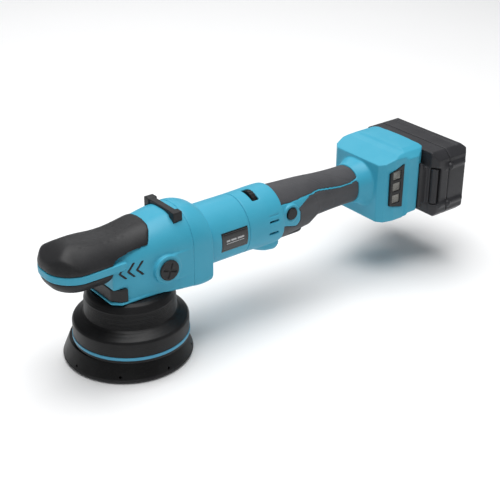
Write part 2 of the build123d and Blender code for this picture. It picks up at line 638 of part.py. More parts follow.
def make_foot_fittings():
    frame, panes = window_frame(0.0), []
    for low in (87.0, 100.6, 113.4):
        opening = block((299.2, 310.4), (-46, -37), (low, low + 9.6))
        frame = frame - opening
        panes.append(block((299.3, 310.3), (-FOOT_HALF + 0.4, -FOOT_HALF + 1.2), (low + 0.1, low + 9.5)))
    save("window_frames", both_sides(frame))
    save("window_meshes", both_sides(Compound(children=[p.solid() for p in panes])))
    holder = block((RAIL_FRONT - 3.9, RAIL_FRONT - 0.1), (-19.9, 19.9), (RAIL_MID - 13.9, RAIL_MID + 13.9))
    save("terminal_block", holder)
    blades = [block((RAIL_FRONT - 0.1, RAIL_FRONT + 4.5), (-14, 6), (RAIL_MID + z - 0.4, RAIL_MID + z + 0.4))
              for z in (-8, 0, 8)]
    save("terminal_blades", Compound(children=[b.solid() for b in blades]))


def make_controls():
    front = [(175, 86), (173, 92), (166.5, 92), (166.5, 73.5), (169, 71.6)]
    back = [(195, 71.6), (199.5, 73.6), (201, 79), (200, 86)]
    paddle = side_plate(front + back, 12.4)
    rounded = hull([(160, 12.4, 71.6, 100, 4, 7.5), (212, 12.4, 71.6, 100, 4, 7.5)])
    save("trigger", paddle & rounded)
    save("trigger_switch", block((168, 206), (-9, 9), (100, 116)))
    button = peg(LOCK_R, -27.8, -13, LOCK_X, LOCK_Z)
    save("lock_button", button)
    spot = Pos(DIAL_X, 0, MOTOR_Z) * Rot(DIAL_LEAN, 0, 0) * Pos(0, 0, DIAL_HEIGHT)
    wheel = Rot(0, 90, 0) * Cylinder(DIAL_R, 5.0)
    ridges = [Rot(20 * i, 0, 0) * Pos(0, 0, DIAL_R) * Box(5.0, 0.9, 0.9) for i in range(18)]
    axle = Rot(0, 90, 0) * Cylinder(2.0, 5.0)
    save("speed_dial", spot * ((wheel + ridges) - axle))
    board = Rot(0, 90, 0) * Cylinder(4.8, 1.6)
    save("dial_potentiometer", spot * (Rot(0, 90, 0) * Cylinder(2.0 - FIT, 9.0) + Pos(-5.2, 0, 0) * board))
    save("controller_board", block((248, 281), (-8.4, 8.4), (93, 94.6)))
    save("controller_heatsink", block((250, 279), (-8.0, 8.0), (94.6, 103)))
    save("casing_screws", casing_screws())


# ---- battery pack -------------------------------------------------------------------------------
def pack_block(inset):
    """Chamfered battery body."""
    i, (x0, x1), (z0, z1), half = inset, PACK_X, PACK_Z, PACK_HALF
    side = side_plate([(x0 + i, z0 + 6 + i), (x0 + i, z1 - i), (x1 - 5 - i, z1 - i), (x1 - i, z1 - 5 - i),
                       (x1 - i, z0 + 6 + i), (x1 - 6 - i, z0 + i), (x0 + 9 + i, z0 + i)], 80)
    plan = plan_plate(mirrored([(x0 + i, i - half + 7), (x0 + 5 + i, i - half), (x1 - 5 - i, i - half),
                                (x1 - i, i - half + 5)]), 40, 150)
    low, high = z0 + i, z1 - i
    outline = mirrored([(low, i - half + 7), (low + 7, i - half), (high - 8, i - half), (high, i - half + 8)])
    face = make_face(Polyline([(x0 - 5, y, z) for z, y in outline], close=True))
    return side & plan & extrude(face, 70, dir=(1, 0, 0))


def make_battery():
    body = pack_block(0.0)
    bosses = both_sides(bar(4.0, 362, 391, -PACK_HALF + 1.6, 118) + bar(4.0, 356, 391, -PACK_HALF + 1.6, 75))
    ribs = [block((PACK_X[1] - 1, PACK_X[1] + 0.9), (y - 1.5, y + 1.5), (70, 124)) for y in range(-40, 41, 10)]
    groove = block((384, 386.5), (-48, 48), (PACK_Z[1] - 1, PACK_Z[1] + 1))
    shell = (body + bosses + ribs) - pack_block(2.2) - groove
    well = block((PACK_X[0] - 1, PACK_X[0] + 9), (-60, -47.5), (76, 118))
    lining = (block((PACK_X[0], PACK_X[0] + 10.2), (-60, -46.3), (74.8, 119.2)) & body) - well
    tongue = rail_slot(-GAP) & block((0, PACK_X[0] + 1), (-44, 60), (0, 200))
    contacts = block((RAIL_FRONT - 1, PACK_X[0] + 3), (-16, 8), (RAIL_MID - 12, RAIL_MID + 12))
    contacts = contacts + block((RAIL_FRONT - 1, PACK_X[0]), (-16, 60), (RAIL_MID - 12, RAIL_MID + 12))
    shell = (shell - well + lining + tongue) - contacts - pack_screws()
    upper = shell & block((300, PACK_SPLIT), (-80, 80), (0, 200))
    lower = shell & block((PACK_SPLIT, 420), (-80, 80), (0, 200))
    save("pack_upper_case", upper.solids().sort_by(SortBy.VOLUME)[-1])
    save("pack_lower_case", lower.solids().sort_by(SortBy.VOLUME)[-1])
    cells = []
    for x in CELL_ROWS:
        for k in range(-2, 3):
            cells.append(post(CELL_R, CELL_LOW, CELL_LOW + CELL_LONG, x, 18.6 * k))
    save("pack_cells", Compound(children=[c.solid() for c in cells]))
    xs, ys = (CELL_ROWS[0] - 6, CELL_ROWS[1] + 6), (-43, 43)
    top = CELL_LOW + CELL_LONG
    save("pack_cell_links", block(xs, ys, (top, top + 0.5)) + block(xs, ys, (CELL_LOW - 0.5, CELL_LOW)))
    board_x = PACK_X[0] + 2.4
    save("pack_board", block((board_x, board_x + 1.2), (-30, 30), (RAIL_MID - 22, RAIL_MID + 22)))
    clips = [block((RAIL_LIP + 2, board_x), (-14, 6), (RAIL_MID + z + s * 1.5 - 0.4, RAIL_MID + z + s * 1.5 + 0.4))
             for z in (-8, 0, 8) for s in (-1, 1)]
    save("pack_contacts", Compound(children=[c.solid() for c in clips]))
    front = PACK_X[0]
    scoop = [(front + 0.8, -48.0), (front + 6.4, -48.0), (front + 6.4, -55.2)]
    scoop = scoop + [(front + 3.6, -54.0), (front + 1.2, -51.0)]
    save("release_button", plan_plate(scoop, 77, 117))
    save("pack_screws", pack_screws())


def pack_screws():
    """Screws that close the battery case from behind."""
    x = PACK_X[1]
    return Compound(children=[bar(1.8, x - 8, x - 1, y, z).solid() for y in (-46, 46) for z in (66, 126)])


make_pad()
make_counterweight()
make_spindle()
make_gears()
make_gear_case()
make_motor()
make_head()
make_motor_housing()
make_handle()
make_foot_fittings()
make_controls()
make_battery()
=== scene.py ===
"""Studio view of a cordless dual action polisher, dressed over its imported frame."""

import json
import logging
import math
from dataclasses import dataclass, field
from enum import Enum
from typing import Callable, Union

import bmesh
import bpy
from mathutils import Matrix, Vector


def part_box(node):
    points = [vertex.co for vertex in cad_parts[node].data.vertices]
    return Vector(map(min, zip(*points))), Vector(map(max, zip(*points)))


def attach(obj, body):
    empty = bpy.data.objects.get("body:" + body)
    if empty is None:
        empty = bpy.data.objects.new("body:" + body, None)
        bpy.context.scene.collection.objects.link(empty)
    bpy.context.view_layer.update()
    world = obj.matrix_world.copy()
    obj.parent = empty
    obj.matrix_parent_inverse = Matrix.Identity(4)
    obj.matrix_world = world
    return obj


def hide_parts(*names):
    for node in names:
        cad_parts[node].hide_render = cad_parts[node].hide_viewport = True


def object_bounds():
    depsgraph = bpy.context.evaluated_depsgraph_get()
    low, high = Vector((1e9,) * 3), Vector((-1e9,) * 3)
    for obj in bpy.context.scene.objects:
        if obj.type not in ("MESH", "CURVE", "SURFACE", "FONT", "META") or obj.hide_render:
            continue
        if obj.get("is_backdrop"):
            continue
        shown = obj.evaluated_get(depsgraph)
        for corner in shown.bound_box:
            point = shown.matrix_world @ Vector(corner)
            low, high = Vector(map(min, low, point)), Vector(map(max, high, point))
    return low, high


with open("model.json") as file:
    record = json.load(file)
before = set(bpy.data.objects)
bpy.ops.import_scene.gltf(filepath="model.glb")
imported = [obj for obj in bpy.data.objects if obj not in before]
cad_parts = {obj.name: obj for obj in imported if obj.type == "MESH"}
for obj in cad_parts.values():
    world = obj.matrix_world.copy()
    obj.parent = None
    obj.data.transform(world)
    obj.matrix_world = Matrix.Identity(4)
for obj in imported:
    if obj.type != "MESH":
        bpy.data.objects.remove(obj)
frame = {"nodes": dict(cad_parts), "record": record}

LOG = logging.getLogger("polisher")
MM = 0.001
LARGE_PIECE = 0.11          # a soft mesh longer than this across its box is thinned
KEPT_SHARE = 0.42

Colour = tuple[float, float, float, float]
Value = Union[float, Colour, "Sock"]
DUST: Colour = (0.62, 0.61, 0.58, 1.0)


# ---- shader writing ------------------------------------------------------------------------------
class Sock:
    """A shader output that adds Math nodes when it is used in an expression."""

    def __init__(self, shader: "Shader", socket: bpy.types.NodeSocket) -> None:
        """Wraps one output of a node in the shader's tree."""
        self.shader = shader
        self.socket = socket

    def _math(self, operation: str, first: Value, second: Value) -> "Sock":
        """One Math node on two values."""
        return self.shader.node("ShaderNodeMath", {"operation": operation}, {0: first, 1: second})

    def __add__(self, other: Value) -> "Sock":
        """Sum."""
        return self._math("ADD", self, other)

    def __radd__(self, other: Value) -> "Sock":
        """Sum, reflected."""
        return self._math("ADD", other, self)

    def __sub__(self, other: Value) -> "Sock":
        """Difference."""
        return self._math("SUBTRACT", self, other)

    def __rsub__(self, other: Value) -> "Sock":
        """Difference, reflected."""
        return self._math("SUBTRACT", other, self)

    def __mul__(self, other: Value) -> "Sock":
        """Product."""
        return self._math("MULTIPLY", self, other)

    def __rmul__(self, other: Value) -> "Sock":
        """Product, reflected."""
        return self._math("MULTIPLY", other, self)

    def ramp(self, low: float, high: float) -> "Sock":
        """Smooth step.

        Args:
            low: value that gives 0.
            high: value that gives 1.

        Returns:
            The eased value.
        """
        return self.shader.node(
            "ShaderNodeMapRange",
            {"interpolation_type": "SMOOTHSTEP", "clamp": True},
            {"Value": self, "From Min": low, "From Max": high},
        )


class Shader:
    """Node tree of one finish, with its Principled shader."""

    def __init__(self, name: str) -> None:
        """Starts a material with a bare Principled shader.

        Args:
            name: name of the material.
        """
        self.material = bpy.data.materials.new(name)
        self.material.use_nodes = True
        self.tree = self.material.node_tree
        self.surface = self.tree.nodes["Principled BSDF"]

    def node(
        self, kind: str, settings: dict | None = None, sockets: dict | None = None, output: int | str = 0
    ) -> Sock:
        """Adds a node of any kind.

        Args:
            kind: Blender's node type.
            settings: attributes of the node, set before its sockets.
            sockets: input index or name to a value or a link.
            output: which output the result stands for.

        Returns:
            The chosen output.
        """
        made = self.tree.nodes.new(kind)
        for key, value in (settings or {}).items():
            setattr(made, key, value)
        for key, value in (sockets or {}).items():
            self.join(made.inputs[key], value)
        return Sock(self, made.outputs[output])

    def join(self, target: bpy.types.NodeSocket, value: Value) -> None:
        """Links a wrapped output to an input, or sets the input's constant.

        Args:
            target: the input.
            value: the wrapped output, or the constant.
        """
        if isinstance(value, Sock):
            self.tree.links.new(value.socket, target)
        else:
            target.default_value = value

    def surface_set(self, values: dict[str, Value]) -> None:
        """Sets or links the Principled shader's inputs by name."""
        for name, value in values.items():
            self.join(self.surface.inputs[name], value)

    def place(self, stretch: tuple[float, float, float] = (1.0, 1.0, 1.0)) -> Sock:
        """Object position in metres, stretched along each axis."""
        here = self.node("ShaderNodeTexCoord", output="Object")
        return self.node("ShaderNodeVectorMath", {"operation": "MULTIPLY"}, {0: here, 1: stretch})

    def axis(self, vector: Sock, letter: str) -> Sock:
        """One component of a vector."""
        return self.node("ShaderNodeSeparateXYZ", sockets={0: vector}, output=letter)

    def cloud(self, where: Sock, scale: float, detail: float = 2.0, rough: float = 0.5) -> Sock:
        """Noise between 0 and 1 with so many features to a metre."""
        sockets = {"Vector": where, "Scale": scale, "Detail": detail, "Roughness": rough}
        return self.node("ShaderNodeTexNoise", sockets=sockets)

    def cells(self, where: Sock, scale: float) -> Sock:
        """Distance to the nearest of scattered points, so many to a metre."""
        return self.node("ShaderNodeTexVoronoi", {}, {"Vector": where, "Scale": scale}, "Distance")

    def blend(self, factor: Value, first: Value, second: Value) -> Sock:
        """Colour between two colours."""
        return self.node("ShaderNodeMix", {"data_type": "RGBA"}, {0: factor, 6: first, 7: second}, 2)

    def rounded(self, radius: float) -> Sock:
        """Normal that rounds off the edges of the mesh by a radius in metres."""
        return self.node("ShaderNodeBevel", {"samples": 6}, {"Radius": radius})

    def edge(self, rounded: Sock) -> Sock:
        """Mask of the mesh's edges.

        Args:
            rounded: the rounded normal.

        Returns:
            1 where the rounded normal leans well away from the true one, else 0.
        """
        true = self.node("ShaderNodeNewGeometry", output="Normal")
        lean = self.node("ShaderNodeVectorMath", {"operation": "DOT_PRODUCT"}, {0: rounded, 1: true}, "Value")
        return (1.0 - lean).ramp(0.02, 0.25)

    def relief(self, height: Sock, depth: float, base: Sock | None = None) -> Sock:
        """Bump of a height field.

        Args:
            height: the height field.
            depth: depth in metres of a full step in height.
            base: normal that the bump is laid over.

        Returns:
            The bumped normal.
        """
        sockets: dict = {"Height": height, "Distance": depth, "Strength": 1.0}
        if base is not None:
            sockets["Normal"] = base
        return self.node("ShaderNodeBump", sockets=sockets)


class Relief(Enum):
    """Surface pattern that a moulding carries besides its grain."""

    NONE = "none"
    SWIRLS = "swirls"
    RINGS = "rings"


@dataclass(frozen=True)
class Moulding:
    """Injection-moulded plastic or rubber: grain, mottling, edges lightened as painted highlight and rubbed
    wear, and settled dust.
    """

    name: str
    colour: Colour
    # pale tone for the random mottle and for the painted highlight on edges
    mottle_and_highlight: Colour
    roughness: float = 0.42
    spread: float = 0.10
    grain: float = 1500.0
    depth: float = 0.00003
    edge: float = 0.0008
    dust: float = 0.05
    pattern: Relief = Relief.NONE
    coat: float = 0.0
    specular: float = 0.28

    def height(self, shader: Shader, where: Sock) -> Sock:
        """Fine spark-eroded grain over long, shallow sink marks."""
        return shader.cloud(where, self.grain, 3.0, 0.6) + shader.cloud(where, 55.0, 1.0) * 1.6

    def figure(self, shader: Shader, where: Sock) -> tuple[Sock, float] | None:
        """Relief pattern of the moulding.

        Args:
            shader: the tree to write in.
            where: position on the object.

        Returns:
            The height field and its depth in metres, or None where the moulding is plain.
        """
        if self.pattern is Relief.SWIRLS:
            bent = shader.cloud(where, 26.0, 1.5)
            vein = shader.node(
                "ShaderNodeTexWave",
                {"bands_direction": "DIAGONAL"},
                {"Vector": where, "Scale": 9.0, "Distortion": 9.0, "Detail": 1.0, "Detail Scale": 0.8},
                "Fac",
            )
            return vein.ramp(0.42, 0.60) * bent.ramp(0.42, 0.55), 0.00028
        if self.pattern is Relief.RINGS:
            rise = shader.axis(where, "Z")
            wave = shader.node("ShaderNodeMath", {"operation": "SINE"}, {0: rise * 3300.0})
            return wave * 0.5 + shader.cloud(where, 300.0) * 0.3, 0.00006
        return None

    def build(self) -> bpy.types.Material:
        """Writes the material's nodes.

        Returns:
            The material.
        """
        shader = Shader(self.name)
        where = shader.place()
        rounded = shader.rounded(self.edge)
        # painted highlight: edge mask in noisy patches, partly rubbed wear; it also lowers roughness there
        edge_wear_and_highlight = shader.edge(rounded) * shader.cloud(where, 240.0, 2.0).ramp(0.35, 0.7)
        mottle = shader.cloud(where, 32.0, 3.0)
        tone = shader.blend(mottle.ramp(0.3, 0.75) * 0.35, self.colour, self.mottle_and_highlight)
        # painted highlight: edges blended toward the pale tone
        tone = shader.blend(edge_wear_and_highlight * 0.55, tone, self.mottle_and_highlight)
        speck = shader.cells(where, 900.0)
        dusted = shader.blend((1.0 - speck.ramp(0.05, 0.28)) * self.dust, tone, DUST)
        smear = shader.cloud(shader.place((1.0, 2.6, 2.6)), 46.0, 3.0, 0.62)
        normal = shader.relief(self.height(shader, where), self.depth, rounded)
        figure = self.figure(shader, where)
        if figure is not None:
            normal = shader.relief(figure[0], figure[1], normal)
        shader.surface_set({
            "Base Color": dusted,
            "Roughness": smear * self.spread * 2.0 + (self.roughness - self.spread) - edge_wear_and_highlight * 0.06,
            "Normal": normal,
            "Specular IOR Level": self.specular,
            "Coat Weight": self.coat,
            "Coat Roughness": 0.12,
        })
        return shader.material


@dataclass(frozen=True)
class Metal:
    """Machined, cast or drawn metal with tooling marks and dulled patches."""

    name: str
    colour: Colour
    roughness: float
    along: tuple[float, float, float] = (1.0, 1.0, 14.0)
    depth: float = 0.00002

    def build(self) -> bpy.types.Material:
        """Writes the material's nodes.

        Returns:
            The material.
        """
        shader = Shader(self.name)
        where = shader.place()
        marks = shader.cloud(shader.place(self.along), 420.0, 4.0, 0.65)
        dull = shader.cloud(where, 70.0, 3.0)
        dark = tuple(0.72 * part for part in self.colour[:3]) + (1.0,)
        shader.surface_set({
            "Base Color": shader.blend(dull.ramp(0.35, 0.8), self.colour, dark),
            "Metallic": 1.0,
            "Roughness": marks * 0.22 + (self.roughness - 0.11) + dull * 0.06,
            "Normal": shader.relief(marks, self.depth, shader.rounded(0.0003)),
        })
        return shader.material


@dataclass(frozen=True)
class Screen:
    """Woven wire screen behind a cooling window; beat is the weave's phase in radians to a metre."""

    name: str = "wire_screen"
    beat: float = 6283.0 / 1.1

    def build(self) -> bpy.types.Material:
        """Writes the material's nodes.

        Returns:
            The material.
        """
        shader = Shader(self.name)
        where = shader.place((self.beat, 1.0, self.beat))
        across = shader.node("ShaderNodeMath", {"operation": "SINE"}, {0: shader.axis(where, "X")})
        upright = shader.node("ShaderNodeMath", {"operation": "SINE"}, {0: shader.axis(where, "Z")})
        wire = (across.ramp(-0.1, 0.7) + upright.ramp(-0.1, 0.7)).ramp(0.2, 0.9)
        grime = shader.cloud(shader.place(), 120.0, 3.0)
        bright = shader.blend(grime.ramp(0.3, 0.8), (0.42, 0.41, 0.37, 1.0), (0.25, 0.245, 0.225, 1.0))
        shader.surface_set({
            "Base Color": shader.blend(wire, (0.030, 0.030, 0.029, 1.0), bright),
            "Metallic": wire * 0.5,
            "Roughness": 0.62 - wire * 0.2,
            "Normal": shader.relief(wire, 0.00025),
        })
        return shader.material


@dataclass(frozen=True)
class Weave:
    """Hook face: short stems standing in rows on a fabric back."""

    name: str = "hook_pile"
    colour: Colour = (0.030, 0.030, 0.031, 1.0)

    def build(self) -> bpy.types.Material:
        """Writes the material's nodes.

        Returns:
            The material.
        """
        shader = Shader(self.name)
        where = shader.place()
        stems = shader.cells(where, 820.0)
        pile = 1.0 - stems.ramp(0.10, 0.42)
        lint = shader.cloud(where, 190.0, 4.0)
        shader.surface_set({
            "Base Color": shader.blend(pile * lint, self.colour, (0.11, 0.11, 0.115, 1.0)),
            "Roughness": 0.95 - pile * 0.2,
            "Normal": shader.relief(pile, 0.0006),
            "Sheen Weight": 0.3,
        })
        return shader.material


TEAL = (0.050, 0.370, 0.530, 1.0)
# pale teal for the random mottle and for the painted highlight on edges
TEAL_PALE = (0.088, 0.430, 0.590, 1.0)
FINISHES: dict[str, Callable[[], bpy.types.Material]] = {
    "print_grey": Moulding(
        "print_grey", (0.45, 0.46, 0.47, 1.0), (0.6, 0.6, 0.6, 1.0), 0.35, 0.05, edge=0.0001).build,
    "print_dark": Moulding(
        "print_dark", (0.05, 0.05, 0.053, 1.0), (0.09, 0.09, 0.09, 1.0), 0.3, 0.05, edge=0.0001).build,
    "teal_plastic": Moulding("teal_abs", TEAL, TEAL_PALE, 0.40, 0.07, 2100.0, 0.000022, 0.0010, 0.025).build,
    "teal_ring": Moulding("teal_ring", (0.07, 0.33, 0.52, 1.0), TEAL_PALE, 0.36, 0.06, edge=0.0003).build,
    "black_rubber": Moulding(
        "soft_rubber", (0.018, 0.018, 0.019, 1.0), (0.044, 0.044, 0.047, 1.0), 0.46, 0.10, 1300.0,
        0.00004, 0.0009,
        0.04, specular=0.25).build,
    "grip_rubber": Moulding(
        "embossed_rubber", (0.062, 0.062, 0.067, 1.0), (0.100, 0.100, 0.107, 1.0), 0.50, 0.10, 1300.0,
        0.00005,
        0.0009, 0.06, Relief.SWIRLS).build,
    "shroud_rubber": Moulding(
        "ringed_rubber", (0.007, 0.007, 0.0075, 1.0), (0.026, 0.026, 0.027, 1.0), 0.40, 0.10, 900.0,
        0.00003, 0.0005,
        0.03, Relief.RINGS, specular=0.22).build,
    "black_plastic": Moulding(
        "black_nylon", (0.012, 0.012, 0.013, 1.0), (0.038, 0.038, 0.040, 1.0), 0.44, 0.10, 1900.0, 0.00003,
        0.0005, 0.03).build,
    "pack_plastic": Moulding(
        "pack_nylon", (0.026, 0.026, 0.029, 1.0), (0.060, 0.060, 0.066, 1.0), 0.42, 0.10, 1700.0,
        0.00003, 0.0013,
        0.05).build,
    "plate_black": Moulding(
        "label_gloss", (0.006, 0.006, 0.007, 1.0), (0.03, 0.03, 0.03, 1.0), 0.16, 0.05, 2600.0,
        0.000004, 0.0006,
        0.02, coat=0.6).build,
    "dial_plastic": Moulding(
        "dial_plastic", (0.012, 0.012, 0.013, 1.0), (0.05, 0.05, 0.05, 1.0), 0.40, 0.08, edge=0.0003).build,
    "window_mesh": Screen().build,
    "plate_urethane": Moulding(
        "cast_urethane", (0.006, 0.006, 0.0062, 1.0), (0.026, 0.026, 0.027, 1.0), 0.40, 0.11, 700.0,
        0.00005, 0.0008,
        0.04, specular=0.18).build,
    "cushion_foam": Moulding(
        "soft_foam", (0.020, 0.020, 0.021, 1.0), (0.05, 0.05, 0.05, 1.0), 0.80, 0.08, 1400.0, 0.00018, 0.0005,
        0.08).build,
    "hook_fabric": Weave().build,
    "cast_aluminium": Metal("cast_aluminium", (0.60, 0.61, 0.62, 1.0), 0.52, (1, 1, 1), 0.00006).build,
    "steel": Metal("ground_steel", (0.62, 0.62, 0.64, 1.0), 0.26).build,
    "dark_steel": Metal("black_oxide", (0.10, 0.10, 0.11, 1.0), 0.38).build,
    "gear_steel": Metal("cut_steel", (0.50, 0.50, 0.51, 1.0), 0.34, (3, 3, 3)).build,
    "weight_iron": Metal("sintered_iron", (0.26, 0.26, 0.27, 1.0), 0.55, (1, 1, 1), 0.00008).build,
    "copper": Metal("wound_copper", (0.78, 0.36, 0.19, 1.0), 0.30, (16, 1, 1), 0.00008).build,
    "board_green": Moulding(
        "solder_mask", (0.012, 0.10, 0.045, 1.0), (0.03, 0.17, 0.08, 1.0), 0.30, 0.08, coat=0.4).build,
    "cell_wrap": Moulding(
        "shrink_sleeve", (0.03, 0.12, 0.33, 1.0), (0.08, 0.22, 0.48, 1.0), 0.28, 0.06, coat=0.3).build,
    "nickel": Metal("nickel_strip", (0.66, 0.64, 0.58, 1.0), 0.30).build,
}


class Paintbox:
    """Builds each finish once and hands it out by its slot name."""

    def __init__(self) -> None:
        """Starts empty."""
        self.made: dict[str, bpy.types.Material] = {}

    def __getitem__(self, slot: str) -> bpy.types.Material:
        """The material of a slot, made when it is first asked for.

        Args:
            slot: name of the slot.

        Returns:
            The material.
        """
        if slot not in self.made:
            self.made[slot] = FINISHES[slot]()
        return self.made[slot]

    def dress(self, piece: bpy.types.Object, slot: str) -> None:
        """Gives a piece the finish of a slot, in place of any that it has."""
        piece.data.materials.clear()
        piece.data.materials.append(self[slot])


# ---- mesh making ---------------------------------------------------------------------------------
def add_piece(name: str, mesh: bpy.types.Mesh) -> bpy.types.Object:
    """Links a new object that shows a mesh, smooth shaded.

    Args:
        name: name of the piece.
        mesh: its mesh.

    Returns:
        The piece, with no finish and on no body.
    """
    mesh.polygons.foreach_set("use_smooth", [True] * len(mesh.polygons))
    piece = bpy.data.objects.new(name, mesh)
    bpy.context.scene.collection.objects.link(piece)
    return piece


def shape_piece(name: str, shape: bmesh.types.BMesh) -> bpy.types.Object:
    """Turns a bmesh into a new piece and frees it.

    Args:
        name: name of the piece.
        shape: the bmesh.

    Returns:
        The piece.
    """
    mesh = bpy.data.meshes.new(name)
    shape.to_mesh(mesh)
    shape.free()
    return add_piece(name, mesh)


def apply_modifiers(piece: bpy.types.Object) -> None:
    """Turns a piece's modifiers into its mesh.

    Args:
        piece: the piece, which keeps its name.
    """
    graph = bpy.context.evaluated_depsgraph_get()
    mesh = bpy.data.meshes.new_from_object(piece.evaluated_get(graph))
    piece.modifiers.clear()
    old = piece.data
    piece.data = mesh
    bpy.data.meshes.remove(old)
    mesh.polygons.foreach_set("use_smooth", [True] * len(mesh.polygons))


def soften(name: str, nodes: tuple[str, ...], voxel: float, rounds: int) -> bpy.types.Object:
    """Rounds every edge of some CAD nodes as a mould does, in one new mesh.

    Args:
        name: name of the new piece.
        nodes: the CAD nodes that it is made from.
        voxel: mesh size in metres.
        rounds: smoothing passes.

    Returns:
        The new piece, not yet riding on a body.
    """
    shape = bmesh.new()
    for node in nodes:
        shape.from_mesh(frame["nodes"][node].data)
    piece = shape_piece(name, shape)
    remesh = piece.modifiers.new("voxels", "REMESH")
    remesh.mode, remesh.voxel_size = "VOXEL", voxel
    smooth = piece.modifiers.new("smooth", "SMOOTH")
    smooth.factor, smooth.iterations = 0.5, rounds
    corners = [[vertex.co[axis] for vertex in piece.data.vertices] for axis in range(3)]
    across = Vector([max(values) - min(values) for values in corners]).length
    if across > LARGE_PIECE:
        thin = piece.modifiers.new("thin", "DECIMATE")
        thin.ratio = KEPT_SHARE
    apply_modifiers(piece)
    return piece


def lathe(name: str, outline: list[tuple[float, float]], steps: int = 160) -> bpy.types.Object:
    """Turns a closed outline about the drive axis.

    Args:
        name: name of the piece.
        outline: (radius, height) points in metres.
        steps: faces round the axis.

    Returns:
        The piece.
    """
    shape = bmesh.new()
    rings = []
    for k in range(steps):
        turn = 2 * math.pi * k / steps
        rings.append([shape.verts.new((r * math.cos(turn), r * math.sin(turn), z)) for r, z in outline])
    for k in range(steps):
        here, ahead = rings[k], rings[(k + 1) % steps]
        for i in range(len(outline)):
            j = (i + 1) % len(outline)
            shape.faces.new((here[i], ahead[i], ahead[j], here[j]))
    bmesh.ops.recalc_face_normals(shape, faces=shape.faces)
    return shape_piece(name, shape)


def rounded_outline(points: list[tuple[float, float, float]], steps: int = 5) -> list[tuple[float, float]]:
    """Closed outline whose corners are rounded by quadratic curves.

    Args:
        points: (radius, height, rounding) of each corner, in millimetres.
        steps: points to a rounded corner.

    Returns:
        (radius, height) points in metres.
    """
    made = []
    count = len(points)
    for i, (r, z, cut) in enumerate(points):
        here = Vector((r, z))
        before = Vector(points[i - 1][:2])
        after = Vector(points[(i + 1) % count][:2])
        if cut <= 0:
            made.append(here * MM)
            continue
        reach_in = min(cut, (before - here).length * 0.45)
        reach_out = min(cut, (after - here).length * 0.45)
        start = here + (before - here).normalized() * reach_in
        end = here + (after - here).normalized() * reach_out
        for k in range(steps + 1):
            t = k / steps
            made.append((start * (1 - t) ** 2 + here * (2 * t * (1 - t)) + end * t * t) * MM)
    return [(p.x, p.y) for p in made]


# ---- sub-assemblies ------------------------------------------------------------------------------
@dataclass
class Shroud:
    """Rubber skirt round the eccentric drive, with its ribbed neck."""

    lip: float = 0.9
    rib_pitch: float = 1.3
    hem: float = 3.0
    seat_round: float = 0.25
    ring_depth: float = 1.2
    neck_inset: float = 11.9
    shoulder: tuple[float, float] = (42.3, 44.6)
    neck_foot: tuple[float, float] = (49.0, 50.4)
    rib_depth: float = 0.3
    ribs: tuple[float, float] = (51.5, 65.6)

    def build(self, paint: Paintbox) -> list[bpy.types.Object]:
        """Turns the skirt and gives it to the housing.

        Args:
            paint: the finishes.

        Returns:
            The new pieces.
        """
        low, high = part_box("shroud")
        radius, foot, top = (high.x - low.x) / 2 / MM, low.z / MM, high.z / MM
        ring_low, ring_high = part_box("shroud_ring")
        groove, seat_low, seat_high = ring_high.x / MM - self.ring_depth, ring_low.z / MM, ring_high.z / MM
        neck = radius - self.neck_inset
        outline = [
            (radius - self.hem, foot, 0.6), (radius, foot, self.lip),
            (radius, seat_low, self.seat_round), (groove, seat_low, 0),
            (groove, seat_high, 0), (radius, seat_high, self.seat_round),
            (radius, self.shoulder[0], 1.0), (radius - 1.5, self.shoulder[1], 1.2),
            (neck + 1.8, self.neck_foot[0], 0.8), (neck, self.neck_foot[1], 0.8),
        ]
        height = self.ribs[0]
        while height < self.ribs[1]:
            outline.append((neck + 0.05, height, 0.3))
            outline.append((neck - self.rib_depth, height + self.rib_pitch * 0.5, 0.3))
            height += self.rib_pitch
        outline += [
            (neck - 0.4, 66.8, 1.2), (40.2, top - 1.8, 1.0), (36.9, top + 0.7, 0.3), (36.2, top + 0.7, 0.2),
            (36.2, 70.2, 0.5), (40.0, 64.0, 1.0),
            (neck - 3.0, 51.0, 1.0), (radius - 5.0, 44.5, 1.0), (radius - 3.0, 42.0, 1.0),
        ]
        piece = lathe("shroud_skirt", rounded_outline(outline))
        paint.dress(piece, "shroud_rubber")
        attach(piece, "housing")
        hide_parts("shroud")
        return [piece]


